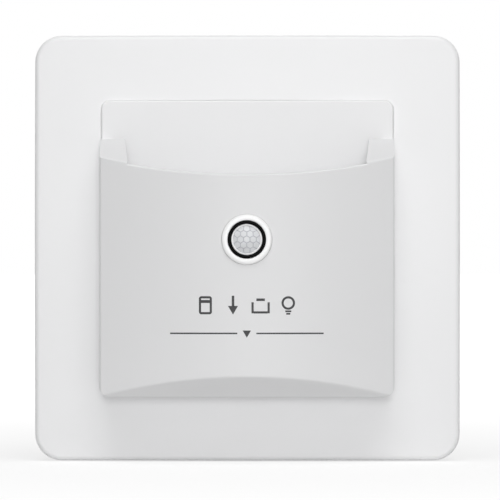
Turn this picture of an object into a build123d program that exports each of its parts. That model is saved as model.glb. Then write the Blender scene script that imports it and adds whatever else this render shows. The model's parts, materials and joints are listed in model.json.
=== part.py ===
from build123d import *
from math import cos, pi, radians, sin, sqrt, tan
import os

# Hotel key card switch for a square wall box, in millimetres.
# X runs to the right, Z up and Y into the wall. The origin is the middle of the fixing
# screws on the wall plane, so "forward" is a distance in front of the wall, along -Y,
# and a negative forward distance lies behind the wall, inside the wall box.

# Clearances
seat_gap = 0.05
running_gap = 0.3
shaft_gap = 0.08
overrun = 1.0

# Surround frame, the square plate that shows round the switch
plate_border = 13.5
plate_corner_radius = 5.3
plate_forward = 8.0
plate_crown_radius = 520.0
plate_wall = 2.0
plate_rim_rounding = 1.0
plate_opening_rounding = 0.35
collar_wall = 1.5
collar_height = 3.6
clip_spacing = 36.0
clip_width = 6.0
clip_thickness = 1.4
clip_reach = 3.0
clip_inset = 1.1

# Mounting yoke, a folded steel plate with the slots for the wall box screws
yoke_border = 6.5
yoke_land = 1.6
yoke_thickness = 1.2
yoke_flange = 3.4
yoke_bend_radius = 1.5
yoke_window_gap = 1.0
yoke_window_radius = 2.0
fixing_offset = 0.65
fixing_slot_width = 4.2
fixing_slot_length = 8.0
fixing_head_width = 9.0
fixing_head_height = 3.2

# Module base, the flat panel behind the card and the walls behind it
module_width = 59.0
module_height = 59.6
module_corner_radius = 1.7
module_rounding = 0.4
panel_forward = 8.3
panel_thickness = 1.8
base_wall = 1.8
post_inset = 5.5
post_radius = 3.0

# Pocket cover, with its bulged front, cheek ramps, finger scoop and chin
panel_band = 7.9
cover_side_depth = 7.0
cover_centre_depth = 11.0
cover_wall = 2.0
cover_corner_radius = 2.0
cover_rounding = 0.5
chin_rounding = 0.9
chin_angle = 45.0
ramp_angle = 39.5
lip_drop = 0.15
cheek_width = 5.8
scoop_depth = 3.4
scoop_wall = 1.8
scoop_lead_in = 1.2
boss_radius = 2.2
hook_length = 8.0
hook_thickness = 1.1
hook_reach = 3.4
hook_drop = 12.0

# Card slot and card guide
slot_border = 2.1
slot_gap = 2.5
guide_thickness = 1.2
guide_foot_gap = 0.7
screw_inset = 5.4
guide_screw_spacing_z = 23.0
guide_screw_radius = 1.0
guide_screw_head_radius = 1.9
guide_screw_head_height = 0.9
guide_screw_length = 3.6
cover_screw_radius = 1.1
cover_screw_head_radius = 1.7
cover_screw_head_height = 1.5
cover_screw_length = 6.4

# Window for the presence sensor, in the middle of the cover
lens_drop = 1.3
bezel_radius = 5.05
bezel_rise = 0.5
bezel_flange = 1.3
bezel_tube_radius = 3.95
bezel_rounding = 0.4
ring_radius = 3.8
ring_bore_radius = 3.15
ring_thickness = 0.9
lens_rim = 0.3
lens_flange_radius = 3.6
lens_flange_thickness = 0.5
lens_wall = 0.6
facet_pitch = 1.25
facet_sphere_radius = 4.4

# Presence sensor and its board
sensor_board_width = 20.0
sensor_board_height = 13.0
sensor_board_thickness = 1.0
sensor_pillar_radius = 1.5
sensor_pillar_height = 0.8
sensor_stake_radius = 0.7
sensor_stake_spacing = 16.0
can_radius = 2.7
can_flange_radius = 3.1
can_flange_thickness = 0.4
can_height = 2.6
can_window = 2.6
can_window_thickness = 0.3

# Flat ribbon between the two boards, with its two connectors
ribbon_offset = 6.0
ribbon_width = 5.0
ribbon_thickness = 0.3
ribbon_bend_radius = 1.2
connector_width = 7.0
connector_height = 2.6
connector_depth = 1.6

# Card paddle and the small switch that it presses
paddle_offset = -9.0
paddle_width = 5.4
paddle_hub_radius = 2.0
paddle_arm_thickness = 1.6
paddle_pivot_height = -8.0
paddle_pivot_inset = 2.3
paddle_nose_reach = 2.0
paddle_nose_length = 8.2
paddle_nose_drop = 3.4
paddle_nose_rounding = 0.6
nose_slope_share = 0.75
paddle_pusher_drop = 5.5
paddle_pusher_radius = 1.0
paddle_pusher_reach = 1.3
paddle_pin_radius = 0.75
paddle_ear_thickness = 1.2
switch_width = 5.8
switch_length = 12.8
switch_height = 6.5
switch_rounding = 0.4
plunger_length = 2.6
plunger_thickness = 1.4
plunger_rise = 1.3
plunger_gap = 0.1
plunger_depth = 1.6
plunger_travel = 1.0
plunger_offset = 2.2

# Main board and what it carries
board_gap = 0.4
board_thickness = 1.6
board_corner_radius = 1.0
part_gap = 5.7
edge_gap = 2.4
row_gap = 1.7
wiring_gap = 4.8
rear_gap = 2.0
relay_width = 19.0
relay_length = 15.5
relay_height = 15.0
relay_rounding = 0.8
film_width = 18.0
film_length = 6.5
film_height = 12.5
film_rounding = 0.8
electrolytic_radius = 4.0
electrolytic_height = 11.5
electrolytic_groove = 0.4
varistor_radius = 4.5
varistor_thickness = 3.6
varistor_rise = 1.5
fuse_radius = 1.8
fuse_length = 9.0
fuse_rise = 1.0
lead_radius = 0.4
rectifier_width = 8.4
rectifier_length = 6.4
rectifier_height = 2.8
rectifier_rounding = 0.5
chip_width = 8.6
chip_length = 3.9
chip_height = 1.5
chip_lead_width = 0.5
chip_lead_pitch = 1.27
chip_lead_reach = 1.0
chip_lead_count = 7
chip_stand = 0.15

# Rear housing
housing_wall = 1.6
housing_corner_radius = 3.0
housing_rounding = 1.0
housing_flange = 2.0
housing_flange_thickness = 1.5
column_radius = 3.8
column_floor = 4.6
housing_screw_radius = 1.4
housing_screw_head_radius = 2.7
housing_screw_head_height = 2.0
housing_screw_length = 14.0
vent_count = 6
vent_width = 1.6
vent_length = 9.0
vent_pitch = 4.5

# Terminal block with rising clamps
terminal_count = 4
terminal_pitch = 7.5
terminal_block_depth = 12.8
terminal_end_wall = 0.5
terminal_cell_wall = 1.4
terminal_front_wall = 1.6
terminal_floor = 1.0
terminal_ledge = 1.2
terminal_recess = 1.6
terminal_entry_rounding = 0.8
terminal_screw_radius = 1.5
terminal_head_radius = 2.5
terminal_head_height = 2.4
terminal_slot_width = 0.8
terminal_slot_depth = 1.1
clamp_travel = 3.0
clamp_bite = 2.2
cage_wall = 1.0
cage_depth = 6.5
contact_width = 2.6
contact_thickness = 1.0

# Places that follow from the sizes above
front_plane = Plane.XZ
side_plane = Plane(origin=(0, 0, 0), x_dir=(0, -1, 0), z_dir=(-1, 0, 0))
plan_plane = Plane(origin=(0, 0, 0), x_dir=(1, 0, 0), z_dir=(0, 0, -1))

plate_side = module_width + 2 * plate_border
fixing_pitch = module_width + 2 * fixing_offset
scoop_width = module_width - 2 * cheek_width
slot_width = module_width - 2 * slot_border
screw_spacing = slot_width - 2 * screw_inset
module_top = module_height / 2
module_bottom = -module_height / 2
ramp_top = module_top - panel_band
cover_boss_height = module_bottom + cover_wall + boss_radius - 2 * running_gap
slot_floor = cover_boss_height + boss_radius + guide_foot_gap + guide_thickness
slot_forward = panel_forward + slot_gap
guide_forward = slot_forward + guide_thickness
panel_rear = panel_forward - panel_thickness
cover_front = panel_forward + cover_centre_depth

bulge = cover_centre_depth - cover_side_depth
bulge_radius = ((module_width / 2) ** 2 + bulge**2) / (2 * bulge)

paddle_pivot_forward = panel_rear - paddle_pivot_inset
pusher_forward = paddle_pivot_forward - paddle_arm_thickness / 2 - paddle_pusher_reach
plunger_front = pusher_forward - paddle_pusher_radius - plunger_gap
switch_front = plunger_front - plunger_rise
board_front = switch_front - switch_height
board_rear = board_front - board_thickness

sensor_board_rear = guide_forward + sensor_pillar_height
sensor_board_front = sensor_board_rear + sensor_board_thickness

row_width = relay_width + part_gap + varistor_thickness + part_gap + 2 * electrolytic_radius
housing_inner_width = row_width + 2 * edge_gap
housing_width = housing_inner_width + 2 * housing_wall
contact_rise = running_gap + contact_thickness
rows_height = rectifier_length + row_gap + relay_length + row_gap + film_length + row_gap
housing_height = terminal_block_depth + contact_rise + wiring_gap + rows_height + housing_wall
housing_inner_height = housing_height - 2 * housing_wall
housing_depth = -board_rear + relay_height + rear_gap + housing_wall
post_spacing_x = housing_width - 2 * post_inset
post_spacing_z = housing_height - 2 * post_inset

relay_x = -housing_inner_width / 2 + edge_gap + relay_width / 2
varistor_x = relay_x + relay_width / 2 + part_gap + varistor_thickness / 2
electrolytic_x = housing_inner_width / 2 - edge_gap - electrolytic_radius
film_z = housing_inner_height / 2 - row_gap - film_length / 2
relay_z = film_z - film_length / 2 - row_gap - relay_length / 2
rectifier_z = relay_z - relay_length / 2 - row_gap - rectifier_length / 2

block_width = terminal_count * terminal_pitch + 2 * terminal_end_wall
block_bottom = -housing_height / 2
block_top = block_bottom + terminal_block_depth
cell_width = terminal_pitch - terminal_cell_wall
cell_bottom = block_bottom + terminal_front_wall
cell_front = board_rear - terminal_floor
cage_width = cell_width - 2 * running_gap
cage_front = cell_front - running_gap
cage_length = 2 * cage_wall + clamp_travel + contact_thickness + 2 * running_gap + clamp_bite
cage_rear = cage_front - cage_length
cell_rear = cage_rear - clamp_travel - running_gap
head_front = cell_rear - terminal_ledge
head_rear = head_front - terminal_head_height
block_rear = head_rear - terminal_recess
cage_bottom = cell_bottom + running_gap
cage_height = cage_bottom + cage_depth / 2
contact_front = cage_front - cage_wall - clamp_travel - running_gap
contact_rear = contact_front - contact_thickness
contact_leg_height = block_top + running_gap + contact_thickness / 2

lip_height = ramp_top - (cover_centre_depth - slot_gap) * tan(radians(ramp_angle))
trough_floor = lip_height - scoop_depth
head_bottom = trough_floor - cover_wall
guide_middle = (slot_floor + head_bottom) / 2
lens_height = head_bottom - lens_drop - sensor_board_height / 2

bezel_top = cover_front + bezel_rise
bezel_seat = bezel_top - bezel_flange
bezel_rear = cover_front - cover_wall
ring_seat = bezel_top - ring_thickness


def block(width, height, back, front, x=0, z=0, radius=0):
    """A block seen from the front, between two forward distances."""
    outline = RectangleRounded(width, height, radius) if radius else Rectangle(width, height)
    return extrude(front_plane.offset(back) * Pos(x, z) * outline, front - back)


def disc(radius, back, front, x=0, z=0):
    """A round bar along Y, between two forward distances."""
    return extrude(front_plane.offset(back) * Pos(x, z) * Circle(radius), front - back)


def across(outline, width, x=0):
    """A side outline, drawn as (forward, height), made this wide about x."""
    return extrude(side_plane.offset(-x) * outline, width / 2, both=True)


def polygon(*points):
    """A flat face with straight sides."""
    return make_face(Polyline(*points, close=True))


def corners(spacing_x, spacing_z, z=0):
    """The four corners of a rectangle about this height, as (x, z)."""
    return [(i * spacing_x / 2, z + j * spacing_z / 2) for i in (-1, 1) for j in (-1, 1)]


def turned(profile, x=0, z=0):
    """A profile drawn as (radius, forward), turned about a Y line through this place."""
    return Pos(x, 0, z) * revolve(plan_plane * profile, Axis.Y)


def screw(radius, length, head_radius, head_height, seat, x, z):
    """A plain screw driven forward, whose head bears on the plane at this distance."""
    return disc(radius, seat, seat + length, x, z) + disc(head_radius, seat - head_height, seat, x, z)


def front_depth(x):
    """How far the bulged front of the cover stands in front of the panel at this x."""
    return cover_centre_depth - bulge_radius + sqrt(bulge_radius**2 - x**2)


def bulged(half_width, wall, bottom, top, rounding=0):
    """What the cover's bulged plan encloses between two heights, drawn in by a wall at the front."""
    radius = bulge_radius - wall
    middle = cover_centre_depth - wall
    side = middle - radius + sqrt(radius**2 - half_width**2)
    outline = Line((-half_width, 0), (half_width, 0))
    outline += Line((half_width, 0), (half_width, side))
    outline += ThreePointArc((half_width, side), (0, middle), (-half_width, side))
    outline += Line((-half_width, side), (-half_width, 0))
    plan = make_face(outline)
    if rounding:
        plan = fillet(plan.vertices().sort_by(Axis.Y)[-2:], rounding)
    return extrude(plan_plane.offset(-top) * Pos(0, panel_forward) * plan, top - bottom)


def under_chin(lift):
    """The wedge below the slanted plane of the chin, raised by lift."""
    slope = tan(radians(chin_angle))
    start = panel_forward + cover_side_depth
    low = module_bottom + lift
    reach = bulge + overrun
    wedge = polygon(
        (start - overrun, low - overrun * slope),
        (start + reach, low + reach * slope),
        (start + reach, low - overrun * slope),
    )
    return across(wedge, module_width + overrun)


def ramp_height(depth):
    """Height of the ramp plane at this distance in front of the panel."""
    return ramp_top - (depth - slot_gap) * tan(radians(ramp_angle))


def over_ramp():
    """What lies above the ramps that run down and forward from the slot's mouth."""
    reach = cover_centre_depth + overrun
    wedge = polygon(
        (slot_forward, ramp_top),
        (panel_forward + reach, ramp_height(reach)),
        (panel_forward + reach, ramp_top + overrun),
        (slot_forward, ramp_top + overrun),
    )
    return across(wedge, module_width + overrun)


def over_lip():
    """The finger scoop's mouth: all above a lip line that sags as the front bulges."""
    half = scoop_width / 2
    side = ramp_height(front_depth(half)) - lip_drop
    middle = ramp_height(cover_centre_depth) - lip_drop
    outline = ThreePointArc((-half, side), (0, middle), (half, side))
    top = ramp_top + overrun
    outline += Polyline((half, side), (half, top), (-half, top), (-half, side))
    return extrude(front_plane.offset(panel_forward) * make_face(outline), cover_centre_depth + overrun)


def surround_frame():
    """The plate: a crowned square shell with a collar round the module and four clip legs."""
    opening_width = module_width + 2 * running_gap
    opening_height = module_height + 2 * running_gap
    opening_radius = module_corner_radius + running_gap
    crown_sag = plate_crown_radius - sqrt(plate_crown_radius**2 - (opening_width / 2) ** 2)
    crown_top = plate_forward + crown_sag
    crown = Pos(0, plate_crown_radius - crown_top, 0) * Sphere(plate_crown_radius)
    lining = Pos(0, plate_crown_radius - crown_top, 0) * Sphere(plate_crown_radius - plate_wall)

    plate = block(plate_side, plate_side, 0, crown_top + overrun, radius=plate_corner_radius) & crown
    rim = plate.edges().filter_by(lambda edge: edge.center().Y < -plate_wall)
    plate = fillet(rim.filter_by(Axis.Y, reverse=True), plate_rim_rounding)
    plate -= block(opening_width, opening_height, -overrun, crown_top + overrun, radius=opening_radius)
    mouth = plate.edges().filter_by(lambda edge: is_mouth(edge.center(), opening_width))
    plate = fillet(mouth, plate_opening_rounding)

    inner_side = plate_side - 2 * plate_wall
    inner_radius = plate_corner_radius - plate_wall
    hollow = block(inner_side, inner_side, -overrun, crown_top, radius=inner_radius) & lining
    collar = block(
        opening_width + 2 * collar_wall,
        opening_height + 2 * collar_wall,
        plate_forward - collar_height,
        crown_top,
        radius=opening_radius + collar_wall,
    )
    plate -= hollow - collar
    for x, z in corners(clip_spacing, 2 * clip_height()):
        plate += block(clip_width, clip_thickness, -clip_reach, plate_forward - plate_wall, x, z)
    return plate


def is_mouth(place, opening_width):
    """Whether an edge's middle lies on the front rim of the plate's opening."""
    inside = max(abs(place.X), abs(place.Z)) < opening_width / 2 + overrun
    return inside and place.Y < -plate_forward + plate_wall


def clip_height():
    """Height of the middle of a clip leg, just outside the collar."""
    return module_height / 2 + running_gap + collar_wall + clip_inset + clip_thickness / 2


def mounting_yoke():
    """A steel plate folded forward along its sides, with screw slots, clip slots and a window."""
    half = module_width / 2 + yoke_border
    height = clip_height() + clip_thickness / 2 + running_gap + yoke_land
    path = FilletPolyline(
        (-half + yoke_thickness / 2, yoke_flange),
        (-half + yoke_thickness / 2, yoke_thickness / 2),
        (half - yoke_thickness / 2, yoke_thickness / 2),
        (half - yoke_thickness / 2, yoke_flange),
        radius=yoke_bend_radius,
    )
    fold = trace(path, yoke_thickness)
    plate = extrude(plan_plane * fold, height, both=True)
    window_edge = 2 * (post_radius + yoke_window_gap)
    plate -= block(
        post_spacing_x + window_edge,
        post_spacing_z + window_edge,
        -overrun,
        yoke_thickness + overrun,
        radius=yoke_window_radius,
    )
    for side in (-1, 1):
        slot = front_plane.offset(-overrun) * Pos(side * fixing_pitch / 2, 0) * SlotOverall(
            fixing_slot_length, fixing_slot_width
        )
        plate -= extrude(slot, yoke_thickness + 2 * overrun)
    for x, z in corners(clip_spacing, 2 * clip_height()):
        plate -= block(
            clip_width + 2 * running_gap,
            clip_thickness + 2 * running_gap,
            -overrun,
            yoke_thickness + overrun,
            x,
            z,
        )
    return plate


def module_base():
    """The flat panel with its walls, screw posts, paddle ears and the windows through it."""
    base = block(module_width, module_height, yoke_thickness, panel_forward, radius=module_corner_radius)
    front_edges = base.faces().sort_by(Axis.Y)[0].edges()
    base = fillet(front_edges, module_rounding)
    base -= block(
        module_width - 2 * base_wall,
        module_height - 2 * base_wall,
        yoke_thickness - overrun,
        panel_rear,
        radius=module_corner_radius,
    )
    for x, z in corners(post_spacing_x, post_spacing_z):
        base += disc(post_radius, board_front, panel_rear, x, z)
        base -= disc(
            housing_screw_radius + seat_gap,
            board_front - overrun,
            screw_tip() + overrun,
            x,
            z,
        )
    for side in (-1, 1):
        base -= block(
            fixing_head_width,
            fixing_head_width,
            yoke_thickness - overrun,
            yoke_thickness + fixing_head_height,
            side * fixing_pitch / 2,
        )
        base -= disc(
            cover_screw_radius + seat_gap,
            panel_rear - overrun,
            panel_forward + overrun,
            side * screw_spacing / 2,
            cover_boss_height,
        )
        base -= block(
            hook_thickness + 2 * seat_gap,
            hook_length + 2 * seat_gap,
            panel_forward - hook_reach - seat_gap,
            panel_forward + overrun,
            side * hook_place(),
            ramp_top - hook_drop,
        )
        base += paddle_ear(side)
    base -= paddle_window()
    base -= block(
        ribbon_width + 2 * running_gap,
        ribbon_thickness + 2 * running_gap,
        panel_rear - overrun,
        panel_forward + overrun,
        ribbon_offset,
        ribbon_low(),
    )
    base -= paddle_bar(paddle_pin_radius + seat_gap, overrun)
    return base


def screw_tip():
    """Forward distance of the tips of the long screws that hold the rear housing."""
    return board_rear - column_floor + housing_screw_length


def hook_place():
    """Distance of the middle of a cover hook from the centre line."""
    return slot_width / 2 + seat_gap + hook_thickness / 2


def ribbon_low():
    """Height of the ribbon where it passes under the slot's floor."""
    return slot_floor - guide_thickness - ribbon_thickness / 2 - 2 * running_gap


def paddle_ear(side):
    """One of the two ears behind the panel that hold the paddle's pin."""
    place = paddle_offset + side * (paddle_width / 2 + running_gap + paddle_ear_thickness / 2)
    tip = paddle_pivot_forward
    outline = Pos((panel_rear + tip) / 2, paddle_pivot_height) * Rectangle(
        panel_rear - tip, 2 * paddle_hub_radius
    ) + Pos(tip, paddle_pivot_height) * Circle(paddle_hub_radius)
    return across(outline, paddle_ear_thickness, place)


def paddle_bar(radius, spare=0):
    """The paddle's pin, from ear to ear."""
    length = paddle_width + 2 * running_gap + 2 * paddle_ear_thickness + 2 * spare
    return across(Pos(paddle_pivot_forward, paddle_pivot_height) * Circle(radius), length, paddle_offset)


def paddle_foot():
    """Height of the paddle's lower end."""
    return paddle_pivot_height - paddle_nose_drop - paddle_nose_length


def paddle_window():
    """The opening in the panel that the paddle's nose comes through."""
    top = paddle_pivot_height - paddle_hub_radius
    low = paddle_foot() - paddle_nose_reach
    return block(
        paddle_width + 2 * running_gap,
        top - low,
        panel_rear - overrun,
        panel_forward + overrun,
        paddle_offset,
        (top + low) / 2,
    )


def cover_block():
    """The outside of the cover, still solid: bulged front, chin, cheek ramps and lip."""
    front = panel_forward + cover_side_depth
    cover = bulged(module_width / 2, 0, module_bottom, ramp_top)
    cover -= under_chin(0)
    ahead = cover.edges().filter_by(lambda edge: -edge.center().Y > front + seat_gap)
    chin = ahead.filter_by(lambda edge: edge.center().Z < 0)
    cover = fillet(chin, chin_rounding)
    cover -= over_ramp()
    cover -= over_lip()
    cover &= block(module_width, module_height, panel_forward, cover_front, radius=cover_corner_radius)
    ahead = cover.edges().filter_by(lambda edge: -edge.center().Y > front + seat_gap)
    brow = ahead.filter_by(lambda edge: edge.center().Z > 0)
    cover = fillet(brow, cover_rounding)
    return cover & bulged(module_width / 2, 0, module_bottom, ramp_top, cover_rounding)


def pocket_cover():
    """The bulged cover: cheeks with ramps, a scoop behind a thin lip, a chin and a hollow rear."""
    cover = cover_block()
    cover -= bulged(scoop_width / 2, scoop_wall, trough_floor, ramp_top)
    cover -= block(
        slot_width,
        ramp_top + overrun - head_bottom,
        panel_forward - overrun,
        slot_forward,
        z=(ramp_top + overrun + head_bottom) / 2,
    )
    lead_in = polygon(
        (slot_forward, trough_floor),
        (slot_forward + scoop_lead_in, trough_floor),
        (slot_forward, trough_floor - scoop_lead_in),
    )
    cover -= across(lead_in, scoop_width)

    chin_wall = cover_wall / cos(radians(chin_angle))
    cavity = bulged(slot_width / 2, cover_wall, module_bottom + cover_wall, head_bottom)
    cover -= cavity - under_chin(chin_wall)
    for x, z in corners(screw_spacing, guide_screw_spacing_z, guide_middle):
        root = panel_forward + front_depth(x) - cover_wall / 2
        cover += disc(boss_radius, guide_forward, root, x, z)
        tip = slot_forward + guide_screw_length + running_gap
        cover -= disc(guide_screw_radius + seat_gap, guide_forward - overrun, tip, x, z)
    for side in (-1, 1):
        x = side * screw_spacing / 2
        z = cover_boss_height
        root = panel_forward + front_depth(x) - cover_wall / 2
        cover += disc(boss_radius, panel_forward, root, x, z)
        tip = panel_rear + cover_screw_length + running_gap
        cover -= disc(cover_screw_radius + seat_gap, panel_forward - overrun, tip, x, z)
        cover += block(
            hook_thickness,
            hook_length,
            panel_forward - hook_reach,
            panel_forward + cover_wall,
            side * hook_place(),
            ramp_top - hook_drop,
        )
    cover -= disc(bezel_tube_radius + seat_gap, guide_forward, cover_front + overrun, 0, lens_height)
    cover -= disc(bezel_radius + seat_gap, bezel_seat, cover_front + overrun, 0, lens_height)
    return cover


def card_guide():
    """The plate between card and electronics, with the slot's floor and the sensor's pillars."""
    width = slot_width - 2 * seat_gap
    low = slot_floor - guide_thickness
    guide = block(width, head_bottom - low, slot_forward, guide_forward, z=(head_bottom + low) / 2)
    floor_middle = slot_floor - guide_thickness / 2
    guide += block(width, guide_thickness, panel_forward, slot_forward, z=floor_middle)
    top = guide.edges().filter_by(Axis.X).sort_by(Axis.Z)[-2:].sort_by(Axis.Y)[-1]
    guide = chamfer(top, guide_thickness / 2)
    for x, z in corners(screw_spacing, guide_screw_spacing_z, guide_middle):
        guide -= guide_screw_shape(seat_gap, x, z)
    for x in sensor_stakes():
        guide += disc(sensor_pillar_radius, guide_forward, sensor_board_rear, x, lens_height)
        stake_front = sensor_board_front + sensor_stake_radius
        guide += disc(sensor_stake_radius, guide_forward, stake_front, x, lens_height)
    return guide


def sensor_stakes():
    """Where the two stakes of the sensor board stand."""
    return [-sensor_stake_spacing / 2, sensor_stake_spacing / 2]


def guide_screw_shape(gap, x, z):
    """A countersunk screw driven forward from the slot side, or its hole with a gap."""
    rear = slot_forward - gap
    shank = guide_screw_radius + gap
    head = guide_screw_head_radius + gap
    profile = polygon(
        (0, rear),
        (head, rear),
        (shank, slot_forward + guide_screw_head_height),
        (shank, slot_forward + guide_screw_length),
        (0, slot_forward + guide_screw_length),
    )
    return turned(profile, x, z)


def guide_screws():
    """Four countersunk screws that hold the guide to the cover."""
    places = corners(screw_spacing, guide_screw_spacing_z, guide_middle)
    return Compound([guide_screw_shape(0, x, z).solid() for x, z in places])


def cover_screws():
    """Two pan head screws that hold the foot of the cover to the base."""
    screws = []
    for side in (-1, 1):
        x = side * screw_spacing / 2
        shape = screw(
            cover_screw_radius,
            cover_screw_length,
            cover_screw_head_radius,
            cover_screw_head_height,
            panel_rear,
            x,
            cover_boss_height,
        )
        screws.append(shape.solid())
    return Compound(screws)


def housing_screws():
    """Four long screws that clamp the housing, the board and the yoke to the base."""
    seat = board_rear - column_floor
    screws = []
    for x, z in corners(post_spacing_x, post_spacing_z):
        shape = screw(
            housing_screw_radius,
            housing_screw_length,
            housing_screw_head_radius,
            housing_screw_head_height,
            seat,
            x,
            z,
        )
        screws.append(shape.solid())
    return Compound(screws)


def lens_bezel():
    """The white ring round the sensor's window, with the tube that plugs into the cover."""
    bore = ring_bore_radius + seat_gap
    recess = ring_radius + seat_gap
    profile = polygon(
        (bore, bezel_rear),
        (bezel_tube_radius, bezel_rear),
        (bezel_tube_radius, bezel_seat),
        (bezel_radius, bezel_seat),
        (bezel_radius, bezel_top),
        (recess, bezel_top),
        (recess, ring_seat),
        (bore, ring_seat),
    )
    corner = profile.vertices().sort_by(Axis.Y)[-2:].sort_by(Axis.X)[-1]
    return turned(fillet(corner, bezel_rounding), z=lens_height)


def lens_ring():
    """The black ring in the bezel."""
    profile = polygon(
        (ring_bore_radius, ring_seat),
        (ring_radius, ring_seat),
        (ring_radius, bezel_top - seat_gap),
        (ring_bore_radius, bezel_top - seat_gap),
    )
    return turned(profile, z=lens_height)


def facet_places():
    """A honeycomb of facet centres, as (x, z) about the lens axis."""
    row = facet_pitch * sqrt(3) / 2
    places = []
    for j in range(-2, 3):
        count = 5 - abs(j)
        for i in range(count):
            places.append(((i - (count - 1) / 2) * facet_pitch, j * row))
    return places


def fresnel_lens():
    """The milky lens: a flanged cup whose domed front is cut into a honeycomb of facets."""
    skirt = ring_bore_radius - seat_gap
    rim = bezel_top - 2 * lens_rim
    dome = skirt - lens_rim
    centre = rim - sqrt(facet_sphere_radius**2 - dome**2)
    cap = disc(dome, rim, centre + facet_sphere_radius, 0, lens_height)
    for x, z in facet_places():
        ahead = sqrt(facet_sphere_radius**2 - x**2 - z**2)
        facet = Plane(origin=(x, -centre - ahead, lens_height + z), z_dir=(x, -ahead, z))
        cap = split(cap, bisect_by=facet, keep=Keep.BOTTOM)
    cup = disc(lens_flange_radius, bezel_rear - lens_flange_thickness, bezel_rear, 0, lens_height)
    cup += disc(skirt, bezel_rear, rim, 0, lens_height)
    cup -= disc(skirt - lens_wall, bezel_rear - overrun, rim - lens_wall, 0, lens_height)
    return cup + cap


def sensor_board():
    """The small board behind the window."""
    rear = sensor_board_rear
    front = sensor_board_front
    board = block(sensor_board_width, sensor_board_height, rear, front, 0, lens_height)
    for x in sensor_stakes():
        board -= disc(sensor_stake_radius + seat_gap, rear - overrun, front + overrun, x, lens_height)
    return board


def pir_can():
    """The metal can of the heat sensor, with a square window in its face."""
    seat = sensor_board_front
    face = seat + can_height
    can = disc(can_flange_radius, seat, seat + can_flange_thickness, 0, lens_height)
    can += disc(can_radius, seat, face, 0, lens_height)
    front = can.faces().sort_by(Axis.Y)[0].edges()
    can = fillet(front, can_flange_thickness)
    return can - block(can_window, can_window, face - can_window_thickness, face + overrun, 0, lens_height)


def pir_window():
    """The dark filter in the can's window."""
    face = sensor_board_front + can_height
    side = can_window - 2 * seat_gap
    return block(side, side, face - can_window_thickness, face, 0, lens_height)


def sensor_connector():
    """The ribbon's connector at the foot of the sensor board."""
    return block(
        connector_width,
        connector_height,
        sensor_board_front,
        sensor_board_front + connector_depth,
        ribbon_offset,
        sensor_connector_foot() + connector_height / 2,
    )


def sensor_connector_foot():
    """Height of the sensor board's lower edge, where the ribbon leaves."""
    return lens_height - sensor_board_height / 2


def main_connector():
    """The ribbon's connector on the main board."""
    return block(
        connector_width,
        connector_height,
        board_front,
        board_front + connector_depth,
        ribbon_offset,
        rectifier_z,
    )


def sensor_ribbon():
    """The flat ribbon: down inside the cover, back under the slot's floor, up and to the board."""
    start = sensor_board_front + connector_depth / 2
    turn = (panel_rear + yoke_thickness) / 2
    low = ribbon_low()
    route = FilletPolyline(
        (start, sensor_connector_foot()),
        (start, low),
        (turn, low),
        (turn, rectifier_z),
        (board_front + connector_depth, rectifier_z),
        radius=ribbon_bend_radius,
    )
    return across(trace(route, ribbon_thickness), ribbon_width, ribbon_offset)


def card_paddle():
    """The lever that the card pushes back, with its hub, sloping nose and rounded pusher."""
    pivot = paddle_pivot_forward
    top = paddle_pivot_height - paddle_nose_drop
    foot = paddle_foot()
    tip = panel_forward + paddle_nose_reach
    arm = Pos(pivot, (paddle_pivot_height + foot) / 2) * Rectangle(
        paddle_arm_thickness, paddle_pivot_height - foot
    )
    nose = polygon(
        (pivot, top),
        (panel_forward - running_gap, top),
        (tip, top - nose_slope_share * paddle_nose_length),
        (tip, foot + paddle_nose_rounding),
        (tip - paddle_nose_rounding, foot),
        (pivot, foot),
    )
    pusher_height = paddle_pivot_height - paddle_pusher_drop
    pusher = Pos((pivot + pusher_forward) / 2, pusher_height) * Rectangle(
        pivot - pusher_forward, 2 * paddle_pusher_radius
    )
    pusher += Pos(pusher_forward, pusher_height) * Circle(paddle_pusher_radius)
    hub = Pos(pivot, paddle_pivot_height) * Circle(paddle_hub_radius)
    outline = arm + nose + pusher + hub
    outline -= Pos(pivot, paddle_pivot_height) * Circle(paddle_pin_radius + shaft_gap)
    return across(outline, paddle_width, paddle_offset)


def paddle_pin():
    """The steel pin that the paddle turns on."""
    return paddle_bar(paddle_pin_radius)


def plunger_height():
    """Height of the middle of the small switch's plunger."""
    return paddle_pivot_height - paddle_pusher_drop


def microswitch_case():
    """The small switch behind the paddle, with the slot that its plunger slides in."""
    case = block(
        switch_width,
        switch_length,
        board_front,
        switch_front,
        paddle_offset,
        plunger_height() + plunger_offset,
    )
    case = fillet(case.edges().filter_by(Axis.Y), switch_rounding)
    return case - block(
        plunger_length + 2 * shaft_gap,
        plunger_thickness + 2 * shaft_gap,
        switch_front - plunger_depth - plunger_travel - running_gap,
        switch_front + overrun,
        paddle_offset,
        plunger_height(),
    )


def microswitch_plunger():
    """The plunger that the paddle presses."""
    return block(
        plunger_length,
        plunger_thickness,
        switch_front - plunger_depth,
        plunger_front,
        paddle_offset,
        plunger_height(),
    )


def main_board():
    """The power board, held between the base's posts and the housing's columns."""
    width = housing_inner_width - 2 * board_gap
    height = housing_inner_height - 2 * board_gap
    board = block(width, height, board_rear, board_front, radius=board_corner_radius)
    hole_radius = housing_screw_radius + running_gap
    for x, z in corners(post_spacing_x, post_spacing_z):
        board -= disc(hole_radius, board_rear - overrun, board_front + overrun, x, z)
    return board


def on_board(width, length, height, x, z, rounding):
    """A rounded box that stands on the rear of the main board."""
    box = block(width, length, board_rear - height, board_rear, x, z)
    box = fillet(box.edges().filter_by(Axis.Y), rounding)
    rear = box.faces().sort_by(Axis.Y)[-1].edges()
    return fillet(rear, rounding / 2)


def relay_case():
    """The relay that switches the room's power."""
    return on_board(relay_width, relay_length, relay_height, relay_x, relay_z, relay_rounding)


def film_capacitor():
    """The film capacitor of the mains supply."""
    return on_board(film_width, film_length, film_height, 0, film_z, film_rounding)


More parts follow.
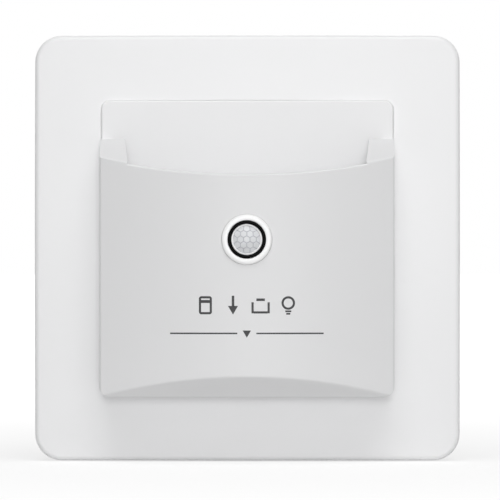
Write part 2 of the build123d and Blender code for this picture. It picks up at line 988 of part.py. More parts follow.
def bridge_rectifier():
    """The rectifier, a flat moulded block."""
    return on_board(
        rectifier_width, rectifier_length, rectifier_height, varistor_x, rectifier_z, rectifier_rounding
    )


def electrolytic_capacitor():
    """The electrolytic capacitor, a can with a rolled groove near the board."""
    groove = electrolytic_groove
    profile = polygon(
        (0, board_rear),
        (electrolytic_radius, board_rear),
        (electrolytic_radius, board_rear - 2 * groove),
        (electrolytic_radius - groove, board_rear - 3 * groove),
        (electrolytic_radius, board_rear - 4 * groove),
        (electrolytic_radius, board_rear - electrolytic_height + groove),
        (electrolytic_radius - groove, board_rear - electrolytic_height),
        (0, board_rear - electrolytic_height),
    )
    return turned(profile, electrolytic_x, relay_z)


def varistor():
    """The surge absorber, a coated disc that stands on two wires."""
    middle = board_rear - varistor_rise - varistor_radius
    coated = Pos(middle, relay_z) * Circle(varistor_radius)
    shape = across(coated, varistor_thickness, varistor_x)
    shape = fillet(shape.edges(), varistor_thickness / 3)
    for side in (-1, 1):
        z = relay_z + side * varistor_radius / 2
        shape += disc(lead_radius, middle, board_rear, varistor_x, z)
    return shape


def fuse_resistor():
    """The fusible resistor, lying over the board on its two bent wires."""
    middle = board_rear - fuse_rise - fuse_radius
    half = fuse_length / 2
    reach = half + 2 * fuse_radius
    body = across(Pos(middle, rectifier_z) * Circle(fuse_radius), fuse_length, relay_x)
    body = fillet(body.edges().filter_by(GeomType.CIRCLE), fuse_radius / 2)
    foot = -board_rear
    route = FilletPolyline(
        (-reach, foot), (-reach, -middle), (reach, -middle), (reach, foot), radius=fuse_radius / 2
    )
    section = Plane(origin=(-reach, foot, 0), z_dir=(0, 1, 0)) * Circle(lead_radius)
    return body + Pos(relay_x, 0, rectifier_z) * sweep(section, route)


def controller_chip():
    """The control chip with its two rows of bent leads."""
    foot = board_rear - chip_stand
    chip = block(chip_width, chip_length, board_rear - chip_height, foot, electrolytic_x, rectifier_z)
    for i in range(chip_lead_count):
        x = electrolytic_x + (i - (chip_lead_count - 1) / 2) * chip_lead_pitch
        for side in (-1, 1):
            inner = rectifier_z + side * (chip_length / 2 - chip_stand)
            outer = rectifier_z + side * (chip_length / 2 + chip_lead_reach)
            chip += block(
                chip_lead_width,
                abs(outer - inner),
                foot - chip_stand,
                board_rear,
                x,
                (inner + outer) / 2,
            )
    return chip


def rear_housing():
    """The box behind the wall plane, with flange, screw columns, vents and terminal opening."""
    housing = block(housing_width, housing_height, -housing_depth, 0, radius=housing_corner_radius)
    rear = housing.faces().sort_by(Axis.Y)[-1].edges()
    housing = fillet(rear, housing_rounding)
    housing += block(
        housing_width + 2 * housing_flange,
        housing_height + 2 * housing_flange,
        -housing_flange_thickness,
        0,
        radius=housing_corner_radius + housing_flange,
    )
    housing -= block(
        housing_inner_width,
        housing_inner_height,
        -housing_depth + housing_wall,
        overrun,
        radius=housing_corner_radius - housing_wall,
    )
    well_radius = housing_screw_head_radius + running_gap
    hole_radius = housing_screw_radius + running_gap
    outside = -housing_depth - overrun
    for x, z in corners(post_spacing_x, post_spacing_z):
        housing += disc(column_radius, -housing_depth + housing_wall, board_rear, x, z)
        housing -= disc(well_radius, outside, board_rear - column_floor, x, z)
        housing -= disc(hole_radius, outside, board_rear + overrun, x, z)
    housing -= block(
        block_width + 2 * seat_gap,
        terminal_block_depth + seat_gap + overrun,
        -housing_depth - overrun,
        board_rear,
        z=block_bottom + (terminal_block_depth + seat_gap - overrun) / 2,
    )
    under_roof = Plane.XY.offset(housing_height / 2 - housing_wall - overrun)
    vent = Rot(0, 0, 90) * SlotOverall(vent_length, vent_width)
    for i in range(vent_count):
        x = (i - (vent_count - 1) / 2) * vent_pitch
        slot = under_roof * Pos(x, -board_rear + relay_height / 2) * vent
        housing -= extrude(slot, housing_wall + 2 * overrun)
    return housing


def terminal_places():
    """Where the terminals stand along the block."""
    return [(i - (terminal_count - 1) / 2) * terminal_pitch for i in range(terminal_count)]


def terminal_housing():
    """The moulded block with a cell, a wire entry and a screw well for each terminal."""
    middle = (block_bottom + block_top) / 2
    body = block(block_width, terminal_block_depth, block_rear, board_rear, 0, middle)
    entry_front = cage_front - cage_wall
    shaft_radius = terminal_screw_radius + shaft_gap
    well_radius = terminal_head_radius + running_gap
    for x in terminal_places():
        body -= block(
            cell_width,
            block_top - cell_bottom + overrun,
            cell_rear,
            cell_front,
            x,
            (cell_bottom + block_top + overrun) / 2,
        )
        entry = Pos(x, (entry_front + contact_front) / 2) * RectangleRounded(
            cage_width - 2 * cage_wall, entry_front - contact_front, terminal_entry_rounding
        )
        inside = plan_plane.offset(-cell_bottom - overrun)
        body -= extrude(inside * entry, terminal_front_wall + 2 * overrun)
        body -= disc(shaft_radius, head_front - overrun, cell_rear + overrun, x, cage_height)
        body -= disc(well_radius, block_rear - overrun, head_front + seat_gap, x, cage_height)
    return body


def clamp_cage(x):
    """A rising clamp: a square steel tube with a threaded rear wall."""
    inside = cage_rear + cage_wall + overrun
    cage = block(cage_width, cage_depth, cage_rear, cage_front, x, cage_height)
    edges = cage.edges().filter_by(Axis.Z)
    cage = fillet(edges, cage_wall / 2)
    cage -= block(
        cage_width - 2 * cage_wall,
        cage_depth + 2 * overrun,
        cage_rear + cage_wall,
        cage_front - cage_wall,
        x,
        cage_height,
    )
    return cage - disc(terminal_screw_radius + shaft_gap, cage_rear - overrun, inside, x, cage_height)


def terminal_screw(x):
    """A clamp screw, whose slotted head lies in its well."""
    turning = disc(terminal_screw_radius, head_front, contact_rear - running_gap, x, cage_height)
    turning += disc(terminal_head_radius, head_rear, head_front, x, cage_height)
    return turning - block(
        2 * (terminal_head_radius + overrun),
        terminal_slot_width,
        head_rear - overrun,
        head_rear + terminal_slot_depth,
        x,
        cage_height,
    )


def terminal_contacts():
    """Four bent strips, each from its clamp up over the block and down to the board."""
    strips = []
    low = cage_bottom
    high = contact_leg_height + contact_thickness / 2
    for x in terminal_places():
        strip = block(contact_width, high - low, contact_rear, contact_front, x, (high + low) / 2)
        leg = block(contact_width, contact_thickness, contact_rear, board_rear, x, contact_leg_height)
        strip += leg
        strips.append(strip.solid())
    return Compound(strips)


pieces = {
    "surround_frame": surround_frame,
    "mounting_yoke": mounting_yoke,
    "module_base": module_base,
    "pocket_cover": pocket_cover,
    "card_guide": card_guide,
    "guide_screws": guide_screws,
    "cover_screws": cover_screws,
    "lens_bezel": lens_bezel,
    "lens_ring": lens_ring,
    "fresnel_lens": fresnel_lens,
    "sensor_board": sensor_board,
    "pir_can": pir_can,
    "pir_window": pir_window,
    "sensor_connector": sensor_connector,
    "sensor_ribbon": sensor_ribbon,
    "main_connector": main_connector,
    "card_paddle": card_paddle,
    "paddle_pin": paddle_pin,
    "microswitch_case": microswitch_case,
    "microswitch_plunger": microswitch_plunger,
    "main_board": main_board,
    "relay_case": relay_case,
    "film_capacitor": film_capacitor,
    "electrolytic_capacitor": electrolytic_capacitor,
    "varistor": varistor,
    "fuse_resistor": fuse_resistor,
    "bridge_rectifier": bridge_rectifier,
    "controller_chip": controller_chip,
    "rear_housing": rear_housing,
    "housing_screws": housing_screws,
    "terminal_housing": terminal_housing,
    "terminal_contacts": terminal_contacts,
}


def build():
    """Write every sub-part to its own STEP file."""
    os.makedirs("parts", exist_ok=True)
    for name, make in pieces.items():
        export_step(make(), f"parts/{name}.step")
    for number, x in enumerate(terminal_places(), 1):
        export_step(terminal_screw(x), f"parts/terminal_screw_{number}.step")
        export_step(clamp_cage(x), f"parts/clamp_cage_{number}.step")


if __name__ == "__main__":
    build()
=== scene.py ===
import json
from math import atan2, cos, pi, radians, sin, sqrt

import bmesh
import bpy
from bpy.props import FloatProperty, FloatVectorProperty, PointerProperty
from mathutils import Matrix, Vector

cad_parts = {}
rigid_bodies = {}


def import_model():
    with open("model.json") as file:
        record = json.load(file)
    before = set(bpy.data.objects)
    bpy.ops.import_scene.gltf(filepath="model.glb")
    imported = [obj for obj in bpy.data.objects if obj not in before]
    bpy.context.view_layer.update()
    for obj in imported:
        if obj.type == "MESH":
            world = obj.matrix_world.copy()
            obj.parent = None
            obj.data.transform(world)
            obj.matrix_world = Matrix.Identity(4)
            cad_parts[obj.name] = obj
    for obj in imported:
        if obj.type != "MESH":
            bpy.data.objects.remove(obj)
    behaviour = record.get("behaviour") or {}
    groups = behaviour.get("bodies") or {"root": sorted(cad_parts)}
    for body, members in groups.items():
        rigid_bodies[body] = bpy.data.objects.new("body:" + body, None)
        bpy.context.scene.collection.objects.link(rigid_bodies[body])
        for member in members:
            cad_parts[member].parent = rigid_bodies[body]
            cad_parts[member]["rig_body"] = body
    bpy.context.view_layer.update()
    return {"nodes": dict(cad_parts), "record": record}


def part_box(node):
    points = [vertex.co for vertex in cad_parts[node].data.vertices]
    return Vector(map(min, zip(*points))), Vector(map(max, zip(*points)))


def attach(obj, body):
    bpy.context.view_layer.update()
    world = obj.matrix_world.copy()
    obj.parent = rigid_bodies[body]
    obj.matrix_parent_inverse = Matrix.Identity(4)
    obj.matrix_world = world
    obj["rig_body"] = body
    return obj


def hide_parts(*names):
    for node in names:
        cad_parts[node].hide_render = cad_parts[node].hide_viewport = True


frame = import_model()

bl_info = {
    "name": "Hotel key card switch",
    "version": (1, 0, 0),
    "blender": (4, 5, 0),
    "location": "3D View > Sidebar > Key switch",
    "description": "Builds the visible pieces, finishes and stage of a hotel key card switch",
    "category": "Object",
}

MM = 0.001

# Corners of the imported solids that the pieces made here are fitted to.
LENS_LOW, LENS_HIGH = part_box("lens_bezel")
COVER_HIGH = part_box("pocket_cover")[1]
PLATE_LOW, PLATE_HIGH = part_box("surround_frame")
LENS_Z = (LENS_LOW.z + LENS_HIGH.z) / 2

# Every mesh: points nearer than this are one, and steeper edges stay crisp.
MERGE_DISTANCE = 0.0005 * MM
CRISP_ANGLE = radians(28)
NORMAL_WEIGHT = 80

# Patterns of the finishes, in cells per metre, and the level past which specks and
# scuffs show. The tinned dots' radius is a share of their cell.
FLOW_CLOUDS = 45
SPARK_GRAIN = 5200
SPECKS = 1500
SPECK_LEVEL = 0.74
DRAWN_LINES = 2600
STAINS = 160
SCUFFS = 900
SCUFF_LEVEL = 0.66
TRACKS = 160.0
TINNED_DOTS = 420.0
DOT_RADIUS = 0.14
BOARD_WEAVE = 1900
FILM_CLOUDS = 700
FILM_GRAIN = 6000
LACQUER_CLOUDS = 260
LACQUER_PEEL = 1800

# Heights of the grain, and the colour of the tinned dots.
FINE_BUMP = 0.02 * MM
COARSE_BUMP = 0.03 * MM
TIN = (0.62, 0.62, 0.58, 1)

# Wall plate: its wall, its back edge, its opening and the collar round that.
PLATE_WALL = 2.0 * MM
PLATE_CHAMFER = 0.25 * MM
OPENING_WIDTH = 59.06 * MM
OPENING_HEIGHT = 59.66 * MM
OPENING_CORNER = 1.73 * MM
COLLAR_WALL = 1.5 * MM
COLLAR_FOOT = 4.4 * MM

# At this reach from the middle the crowned face stands this far before the wall.
OPENING_REACH = 29.8 * MM
OPENING_FORWARD = 8.0 * MM

# Loops over the rim, the face and the mouth of the opening, and those behind the face.
RIM_STEPS = 7
FACE_STEPS = 9
MOUTH_STEPS = 5
BACK_SHARES = (0.33, 0.66, 1.0)

# Clip legs: width, depth and height, and their places.
CLIP_SIZE = (6.0 * MM, 9.0 * MM, 1.4 * MM)
CLIP_ACROSS = 18.0 * MM
CLIP_MIDDLE = -1.5 * MM
CLIP_UP = 33.4 * MM
CLIP_ROUNDING = 0.2 * MM

# Card pocket: the bulge of its front, and where the cheeks' inner walls stand.
COVER_FORWARD = 19.3 * MM
COVER_BULGE = 4.0 * MM
CHEEK_INNER = 23.7 * MM
LIP_FORWARD = 15.0 * MM
SAME_PLACE = 0.01 * MM

# Sensor window: closed sections, as (radius, forward, rounding) in millimetres.
BEZEL_SECTION = (
    (3.2, 17.3, 0.05),
    (3.95, 17.3, 0.15),
    (3.95, 18.5, 0.0),
    (5.05, 18.5, 0.08),
    (5.05, 19.8, 0.4),
    (3.85, 19.8, 0.1),
    (3.85, 18.9, 0.0),
    (3.2, 18.9, 0.0),
)
RING_SECTION = (
    (3.15, 18.9, 0.0),
    (3.8, 18.9, 0.0),
    (3.8, 19.75, 0.12),
    (3.15, 19.75, 0.12),
)
CUP_SECTION = (
    (2.5, 16.8, 0.0),
    (3.6, 16.8, 0.1),
    (3.6, 17.3, 0.1),
    (3.1, 17.3, 0.0),
    (3.1, 19.5, 0.12),
    (2.76, 19.5, 0.1),
)

# Steps of a full turn, the ball that the lens is part of, and its honeycomb.
WINDOW_STEPS = 128
CUP_STEPS = 96
LENS_BALL = 4.4 * MM
LENS_RADIUS = 2.8 * MM
LENS_RIM_FORWARD = 19.2 * MM
LENS_STEPS = 72
CELL_PITCH = 1.25 * MM
CELL_ROWS = 2
GROOVE_HALF_WIDTH = 0.13 * MM

# Printed signs, in millimetres on the pocket's front: a row of four over a rule.
SIGN_ROW = -11.4
SIGN_PITCH = 5.5
SIGN_LINE = 0.44
RULE_ROW = -17.0
RULE_PART = (13.4, 0.3)
RULE_MIDDLE = 8.6
LONG_EDGE = 1.2 * MM

# Lamps, as (name, the setting of their power, side of the square, place).
LAMPS = (
    ("High lamp", "high", 1.6, (0.10, -0.8, 2.0)),
    ("Wide lamp", "wide", 3.0, (0.16, -2.2, 1.0)),
    ("Front lamp", "front", 0.38, (0.05, -1.5, 0.16)),
)

# Floor: it looks white by this share under the switch, and by more with the distance.
FLOOR_REACH = 6.0
FLOOR_GAP = 0.2 * MM
FLOOR_COLOUR = (0.80, 0.80, 0.80, 1)
FLOOR_GLOW = 1.22
BARE_NEAR = 0.55
BARE_SLOPE = 0.9
WHITE = (1, 1, 1, 1)

# Camera: lens and sensor in millimetres, the rest in metres.
CAMERA_PLACE = Vector((0.006, -0.807, -0.0004))
CAMERA_AIM = Vector((0.00055, -0.007, -0.0004))
CAMERA_LENS = 285.0
CAMERA_SENSOR = 36.0
CAMERA_RANGE = (0.05, 20.0)


class KeySwitchSizes(bpy.types.PropertyGroup):
    """Sizes of the pieces that are modelled here."""

    plate_side: FloatProperty(
        name="Plate side",
        description="Width and height of the wall plate",
        default=PLATE_HIGH.x - PLATE_LOW.x,
        unit="LENGTH",
    )
    plate_corner: FloatProperty(
        name="Plate corner",
        description="Corner radius of the wall plate",
        default=5.3 * MM,
        unit="LENGTH",
    )
    plate_crown: FloatProperty(
        name="Plate crown",
        description="Radius of the ball that the plate's face is part of",
        default=520 * MM,
        unit="LENGTH",
    )
    plate_rim: FloatProperty(
        name="Plate rim rounding",
        description="Rounding of the plate's outer rim",
        default=1.0 * MM,
        unit="LENGTH",
    )
    opening_rounding: FloatProperty(
        name="Opening rounding",
        description="Rounding of the mouth of the plate's opening",
        default=0.12 * MM,
        unit="LENGTH",
    )
    cheek_lean: FloatProperty(
        name="Cheek lean",
        description="How far the cheeks' inner walls lean apart at their tops",
        default=0.9 * MM,
        unit="LENGTH",
    )
    groove_depth: FloatProperty(
        name="Groove depth",
        description="Depth of the grooves between the cells of the honeycomb",
        default=0.12 * MM,
        unit="LENGTH",
    )
    print_thickness: FloatProperty(
        name="Print thickness",
        description="Thickness of the ink of the printed signs",
        default=0.012 * MM,
        unit="LENGTH",
    )


class KeySwitchColours(bpy.types.PropertyGroup):
    """Colours of the pieces that show, as linear values."""

    plate: FloatVectorProperty(
        name="Plate",
        description="White plastic of the wall plate",
        default=(0.925, 0.926, 0.932),
        subtype="COLOR",
    )
    module: FloatVectorProperty(
        name="Module",
        description="White plastic of the panel behind the card",
        default=(0.890, 0.891, 0.897),
        subtype="COLOR",
    )
    # Painted shade: the cover is the panel's white plastic, set darker here to stand in for the
    # lesser light that falls on the cover.
    pocket: FloatVectorProperty(
        name="Pocket",
        description="Slightly greyer white plastic of the card pocket's cover",
        default=(0.780, 0.781, 0.787),
        subtype="COLOR",
    )
    bezel: FloatVectorProperty(
        name="Bezel",
        description="Brighter white plastic of the sensor's bezel",
        default=(0.94, 0.94, 0.94),
        subtype="COLOR",
    )
    ring: FloatVectorProperty(
        name="Ring",
        description="Black ring round the lens",
        default=(0.001, 0.001, 0.001),
        subtype="COLOR",
    )
    lens: FloatVectorProperty(
        name="Lens",
        description="Milky plastic of the honeycomb lens",
        default=(0.82, 0.83, 0.85),
        subtype="COLOR",
    )
    # Painted shade: the grooves between the lens's cells get this darker colour in place of the
    # shade that falls in them.
    groove: FloatVectorProperty(
        name="Groove",
        description="Greyer floor of the grooves between the cells of the lens",
        default=(0.48, 0.49, 0.53),
        subtype="COLOR",
    )
    sign: FloatVectorProperty(
        name="Sign",
        description="Dark grey ink of the printed signs",
        default=(0.028, 0.028, 0.030),
        subtype="COLOR",
    )


class KeySwitchLight(bpy.types.PropertyGroup):
    """Strength of the studio light."""

    high: FloatProperty(
        name="High light",
        description="Power of the lamp high above, which lights the ramps",
        default=22.5,
        unit="POWER",
    )
    wide: FloatProperty(
        name="Wide light",
        description="Power of the widest lamp, in front and above",
        default=18.0,
        unit="POWER",
    )
    front: FloatProperty(
        name="Front light",
        description="Power of the small low lamp in front, which lights the chin",
        default=4.5,
        unit="POWER",
    )
    sky: FloatProperty(
        name="Sky",
        description="Strength of the light from all round",
        default=0.10,
    )


class Wire:
    """A socket on which Python's arithmetic adds Math nodes."""

    def __init__(self, sheet, socket):
        self.sheet = sheet
        self.socket = socket

    def __add__(self, other):
        return self.sheet.math("ADD", self, other)

    __radd__ = __add__

    def __sub__(self, other):
        return self.sheet.math("SUBTRACT", self, other)

    def __rsub__(self, other):
        return self.sheet.math("SUBTRACT", other, self)

    def __mul__(self, other):
        return self.sheet.math("MULTIPLY", self, other)

    __rmul__ = __mul__

    def __gt__(self, other):
        return self.sheet.math("GREATER_THAN", self, other)


class Sheet:
    """The node sheet of one material or world."""

    def __init__(self, owner):
        owner.use_nodes = True
        self.tree = owner.node_tree
        self.tree.nodes.clear()

    def add(self, kind, settings=None, inputs=None):
        """One node with its settings and the values or links of its sockets."""
        node = self.tree.nodes.new(kind)
        for name, value in (settings or {}).items():
            setattr(node, name, value)
        for name, value in (inputs or {}).items():
            if isinstance(value, Wire):
                self.tree.links.new(value.socket, node.inputs[name])
            else:
                node.inputs[name].default_value = value
        return node

    def out(self, node, name=0):
        """One output of a node, ready for arithmetic."""
        return Wire(self, node.outputs[name])

    def place(self, scale=(1, 1, 1)):
        """Object coordinates, stretched."""
        coordinates = self.out(self.add("ShaderNodeTexCoord"), "Object")
        return self.out(self.add("ShaderNodeMapping", {}, {"Vector": coordinates, "Scale": scale}))

    def noise(self, scale, detail=2.0, stretch=(1, 1, 1)):
        """Noise of this many cells per metre, stretched."""
        inputs = {"Vector": self.place(stretch), "Scale": scale, "Detail": detail}
        return self.out(self.add("ShaderNodeTexNoise", {}, inputs), "Fac")

    def mix(self, factor, first, second):
        """Two colours by a factor."""
        node = self.add("ShaderNodeMix", {"data_type": "RGBA"}, {0: factor, 6: first, 7: second})
        return self.out(node, 2)

    def bump(self, height, strength, distance):
        """A normal from a height, in metres at full height."""
        inputs = {"Height": height, "Strength": strength, "Distance": distance}
        return self.out(self.add("ShaderNodeBump", {}, inputs), "Normal")

    def seen(self):
        """One for what is looked at, straight, through glass or in a polished face."""
        paths = self.add("ShaderNodeLightPath")
        mirrored = self.out(paths, "Is Glossy Ray")
        through = self.out(paths, "Is Transmission Ray")
        glass = self.math("MAXIMUM", mirrored, through)
        return self.math("MAXIMUM", self.out(paths, "Is Camera Ray"), glass)

    def math(self, operation, first, second):
        """One Math node."""
        node = self.add("ShaderNodeMath", {"operation": operation}, {0: first, 1: second})
        return self.out(node)

    def finish(self, **inputs):
        """The closing shader, with its sockets by name."""
        named = {name.replace("_", " "): value for name, value in inputs.items()}
        shader = self.add("ShaderNodeBsdfPrincipled", {}, named)
        self.add("ShaderNodeOutputMaterial", {}, {"Surface": self.out(shader)})


def tinted(colour, share):
    """A colour made lighter or darker by a share, with its alpha."""
    return (*[min(part * share, 1.0) for part in colour[:3]], 1.0)


def moulded(name, colour, roughness=0.4, grain=0.12):
    """Injection moulded plastic: faint flow clouds, sparse specks, fine grain, uneven gloss."""
    material = bpy.data.materials.new(f"{name}_fine")
    sheet = Sheet(material)
    clouds = sheet.noise(FLOW_CLOUDS, 3)
    fine = sheet.noise(SPARK_GRAIN, 2)
    specks = sheet.noise(SPECKS, 1) > SPECK_LEVEL
    base = sheet.mix(clouds, tinted(colour, 0.985), tinted(colour, 1.01))
    base = sheet.mix(specks * 0.35, base, tinted(colour, 0.97))
    sheet.finish(
        Base_Color=base,
        Roughness=roughness - 0.05 + clouds * 0.08 + fine * 0.03,
        Normal=sheet.bump(fine + clouds * 0.5, grain, FINE_BUMP),
    )
    return material


def metal(name, colour, roughness=0.35, brushed=(1, 1, 1)):
    """Plated sheet or turned metal: drawn lines, stains and a few scuffs."""
    material = bpy.data.materials.new(f"{name}_fine")
    sheet = Sheet(material)
    lines = sheet.noise(DRAWN_LINES, 2, brushed)
    stains = sheet.noise(STAINS, 4)
    scuffs = sheet.noise(SCUFFS, 3) > SCUFF_LEVEL
    base = sheet.mix(stains, tinted(colour, 0.86), tinted(colour, 1.05))
    base = sheet.mix(scuffs * 0.4, base, tinted(colour, 0.75))
    sheet.finish(
        Base_Color=base,
        Metallic=1.0,
        Roughness=roughness + stains * 0.15 + scuffs * 0.1,
        Normal=sheet.bump(lines, 0.25, FINE_BUMP),
    )
    return material


def circuit_board(name, colour):
    """Solder resist over tracks, which show as paler raised lines, with tinned dots."""
    material = bpy.data.materials.new(f"{name}_fine")
    sheet = Sheet(material)
    bricks = sheet.add(
        "ShaderNodeTexBrick",
        {},
        {
            "Vector": sheet.place((1, 0.001, 1)),
            "Scale": TRACKS,
            "Mortar Size": 0.06,
            "Mortar Smooth": 0.3,
        },
    )
    tracks = sheet.out(bricks, "Fac")
    cells = sheet.add(
        "ShaderNodeTexVoronoi",
        {},
        {"Vector": sheet.place(), "Scale": TINNED_DOTS, "Randomness": 0.7},
    )
    dots = DOT_RADIUS - sheet.out(cells, "Distance") > 0.0
    weave = sheet.noise(BOARD_WEAVE, 2, (1, 1, 6))
    base = sheet.mix(tracks, tinted(colour, 1.0), tinted(colour, 1.9))
    base = sheet.mix(dots, base, TIN)
    sheet.finish(
        Base_Color=base,
        Metallic=dots * 0.8,
        Roughness=0.32 + weave * 0.2,
        Normal=sheet.bump(tracks + weave * 0.15, 0.3, COARSE_BUMP),
    )
    return material


def milky_lens(name, colour, groove):
    """Pressed milky film: soft inside, satin outside, clouded, with shade painted in a darker
    colour into its grooves.
    """
    material = bpy.data.materials.new(f"{name}_fine")
    sheet = Sheet(material)
    clouds = sheet.noise(FILM_CLOUDS, 2)
    fine = sheet.noise(FILM_GRAIN, 2)
    # How deep in the grooves each point lies, from the dome's layer; there the darker colour
    # paints the grooves' shade.
    depth = sheet.out(sheet.add("ShaderNodeAttribute", {"attribute_name": "groove"}), "Fac")
    film = sheet.mix(clouds, tinted(colour, 0.93), tinted(colour, 1.05))
    sheet.finish(
        Base_Color=sheet.mix(depth, film, tinted(groove, 1.0)),
        Roughness=0.34 + clouds * 0.1,
        Normal=sheet.bump(fine, 0.08, FINE_BUMP),
        Subsurface_Weight=0.1,
        Subsurface_Radius=(0.2 * MM, 0.2 * MM, 0.22 * MM),
        Subsurface_Scale=1.0,
    )
    return material


def glossy(name, colour, roughness=0.2, coat=0.3, shine=0.5):
    """Lacquered or glassy skins: even colour with clouds, light orange peel and a clear coat."""
    material = bpy.data.materials.new(f"{name}_fine")
    sheet = Sheet(material)
    clouds = sheet.noise(LACQUER_CLOUDS, 3)
    peel = sheet.noise(LACQUER_PEEL, 1)
    sheet.finish(
        Base_Color=sheet.mix(clouds, tinted(colour, 0.85), tinted(colour, 1.12)),
        Roughness=roughness + clouds * 0.12,
        Normal=sheet.bump(peel, 0.12, COARSE_BUMP),
        Specular_IOR_Level=shine,
        Coat_Weight=coat,
        Coat_Roughness=0.12,
    )
    return material


def make_finishes():
    """Every finish by the record's slot name."""
    colours = bpy.context.scene.key_switch_colours
    return {
        "frame_white": moulded("frame_white", colours.plate, 0.40),
        "module_white": moulded("module_white", colours.module, 0.42),
        # Painted shade: a darker copy of the white plastic, for the card pocket's cover.
        "pocket_white": moulded("pocket_white", colours.pocket, 0.38),
        "bezel_white": moulded("bezel_white", colours.bezel, 0.25, 0.04),
        "ring_black": glossy("ring_black", colours.ring, 0.18, 0.0, 0.02),
        "lens_milky": milky_lens("lens_milky", colours.lens, colours.groove),
        "sign_ink": moulded("sign_ink", colours.sign, 0.55, 0.2),
        "zinc_steel": metal("zinc_steel", (0.60, 0.61, 0.62), 0.34, (1, 1, 14)),
        "screw_steel": metal("screw_steel", (0.66, 0.66, 0.64), 0.24, (8, 1, 8)),
        "can_steel": metal("can_steel", (0.72, 0.72, 0.70), 0.20, (6, 1, 6)),
        "contact_brass": metal("contact_brass", (0.78, 0.57, 0.24), 0.30, (1, 1, 10)),
        "board_green": circuit_board("board_green", (0.010, 0.115, 0.040)),
        "filter_dark": glossy("filter_dark", (0.020, 0.012, 0.018), 0.10, 0.6),
        "connector_cream": moulded("connector_cream", (0.76, 0.70, 0.56), 0.38),
        "ribbon_white": moulded("ribbon_white", (0.80, 0.80, 0.78), 0.45, 0.3),
        "paddle_white": moulded("paddle_white", (0.84, 0.84, 0.82), 0.33),
        "switch_black": moulded("switch_black", (0.018, 0.018, 0.020), 0.45, 0.3),
        "plunger_red": moulded("plunger_red", (0.60, 0.03, 0.02), 0.32),
        "relay_blue": moulded("relay_blue", (0.025, 0.105, 0.42), 0.30),
        "film_red": glossy("film_red", (0.42, 0.035, 0.025), 0.28, 0.4),
        "sleeve_black": glossy("sleeve_black", (0.022, 0.024, 0.030), 0.28, 0.3),
        "varistor_blue": glossy("varistor_blue", (0.030, 0.13, 0.42), 0.30, 0.4),
        "resistor_grey": glossy("resistor_grey", (0.24, 0.28, 0.28), 0.42, 0.1),
        "chip_black": moulded("chip_black", (0.020, 0.020, 0.021), 0.55, 0.4),
        "housing_grey": moulded("housing_grey", (0.42, 0.43, 0.44), 0.48, 0.3),
        "terminal_grey": moulded("terminal_grey", (0.17, 0.18, 0.19), 0.46, 0.3),
    }


FINISHES = {}


def finish_of(slot):
    """The material of a slot, made with all the others the first time."""
    if not FINISHES:
        FINISHES.update(make_finishes())
    return FINISHES[slot]


def piece(name, bm, slot, body, *nodes):
    """A finished object from a new mesh, whose doubles are merged and faces turned outwards."""
    bmesh.ops.remove_doubles(bm, verts=bm.verts, dist=MERGE_DISTANCE)
    bmesh.ops.recalc_face_normals(bm, faces=bm.faces)
    return finished(name, bm, slot, body, *nodes)


def finished(name, bm, slot, body, *nodes):
    """An object with crisp edges that rides on its body and stands for the nodes."""
    for face in bm.faces:
        face.smooth = True
    for edge in bm.edges:
        edge.smooth = len(edge.link_faces) == 2 and edge.calc_face_angle() < CRISP_ANGLE
    mesh = bpy.data.meshes.new(name)
    bm.to_mesh(mesh)
    bm.free()
    made = bpy.data.objects.new(name, mesh)
    bpy.context.scene.collection.objects.link(made)
    mesh.materials.append(finish_of(slot))
    evened = made.modifiers.new("Even normals", "WEIGHTED_NORMAL")
    evened.keep_sharp = True
    evened.weight = NORMAL_WEIGHT
    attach(made, body)
    if nodes:
        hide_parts(*nodes)
    return made


def upright(x, z):
    """The matrix that stands a flat shape up, facing forwards, at this place."""
    return Matrix.Translation((x, 0, z)) @ Matrix.Rotation(pi / 2, 4, "X")


def round_corners(bm, corners, radius, segments):
    """Round these corner points of a flat shape."""
    bmesh.ops.bevel(
        bm,
        geom=corners,
        offset=radius,
        offset_type="OFFSET",
        affect="VERTICES",
        segments=segments,
        profile=0.5,
        material=-1,
    )


def outline(bm, width, height, radius, x=0.0, z=0.0, segments=10, cuts=12):
    """The edges of a rounded rectangle that faces forwards, its corners and sides divided."""
    before = set(bm.edges)
    shape = upright(x, z) @ Matrix.Diagonal((width, height, 1, 1))
    made = bmesh.ops.create_grid(bm, x_segments=1, y_segments=1, size=0.5, matrix=shape)
    round_corners(bm, made["verts"], radius, segments)
    edges = [edge for edge in bm.edges if edge not in before]
    longest = sorted(edges, key=lambda edge: edge.calc_length())[-4:]
    if cuts:
        bmesh.ops.subdivide_edges(bm, edges=longest, cuts=cuts)
    faces = {face for edge in bm.edges if edge not in before for face in edge.link_faces}
    bmesh.ops.delete(bm, geom=list(faces), context="FACES_ONLY")
    return [edge for edge in bm.edges if edge not in before]


def turn_of(vertex):
    """The angle of a vertex round the middle of the plate."""
    return atan2(vertex.co.z, vertex.co.x)


def station_points(width, height, radius, forward, drop, sizes):
    """The points of one section loop of the plate, in turn round the middle."""
    bm = bmesh.new()
    outline(bm, width, height, radius)
    points = []
    for vertex in sorted(bm.verts, key=turn_of):
        x, z = vertex.co.x, vertex.co.z
        ahead = crown_forward(x, z, sizes) - drop if forward is None else forward
        points.append(Vector((x, -ahead, z)))
    bm.free()
    return points


def next_loop(bm, edges, points):
    """Draw a closed loop of edges on to these points, and give the new loop."""
    drawn = bmesh.ops.extrude_edge_only(bm, edges=edges)["geom"]
    fresh = {item for item in drawn if isinstance(item, bmesh.types.BMVert)}
    for vertex, point in zip(sorted(fresh, key=turn_of), points, strict=True):
        vertex.co = point
    rims = [item for item in drawn if isinstance(item, bmesh.types.BMEdge)]
    return [edge for edge in rims if edge.verts[0] in fresh and edge.verts[1] in fresh]


def shrunk(outer, inset):
    """The (width, height, radius) of a loop that lies inside another."""
    width, height, radius = outer
    return (width - 2 * inset, height - 2 * inset, radius - inset)


def between(outer, inner, share):
    """The (width, height, radius) of a loop on the way from one to another."""
    return tuple(a + (b - a) * share for a, b in zip(outer, inner, strict=True))


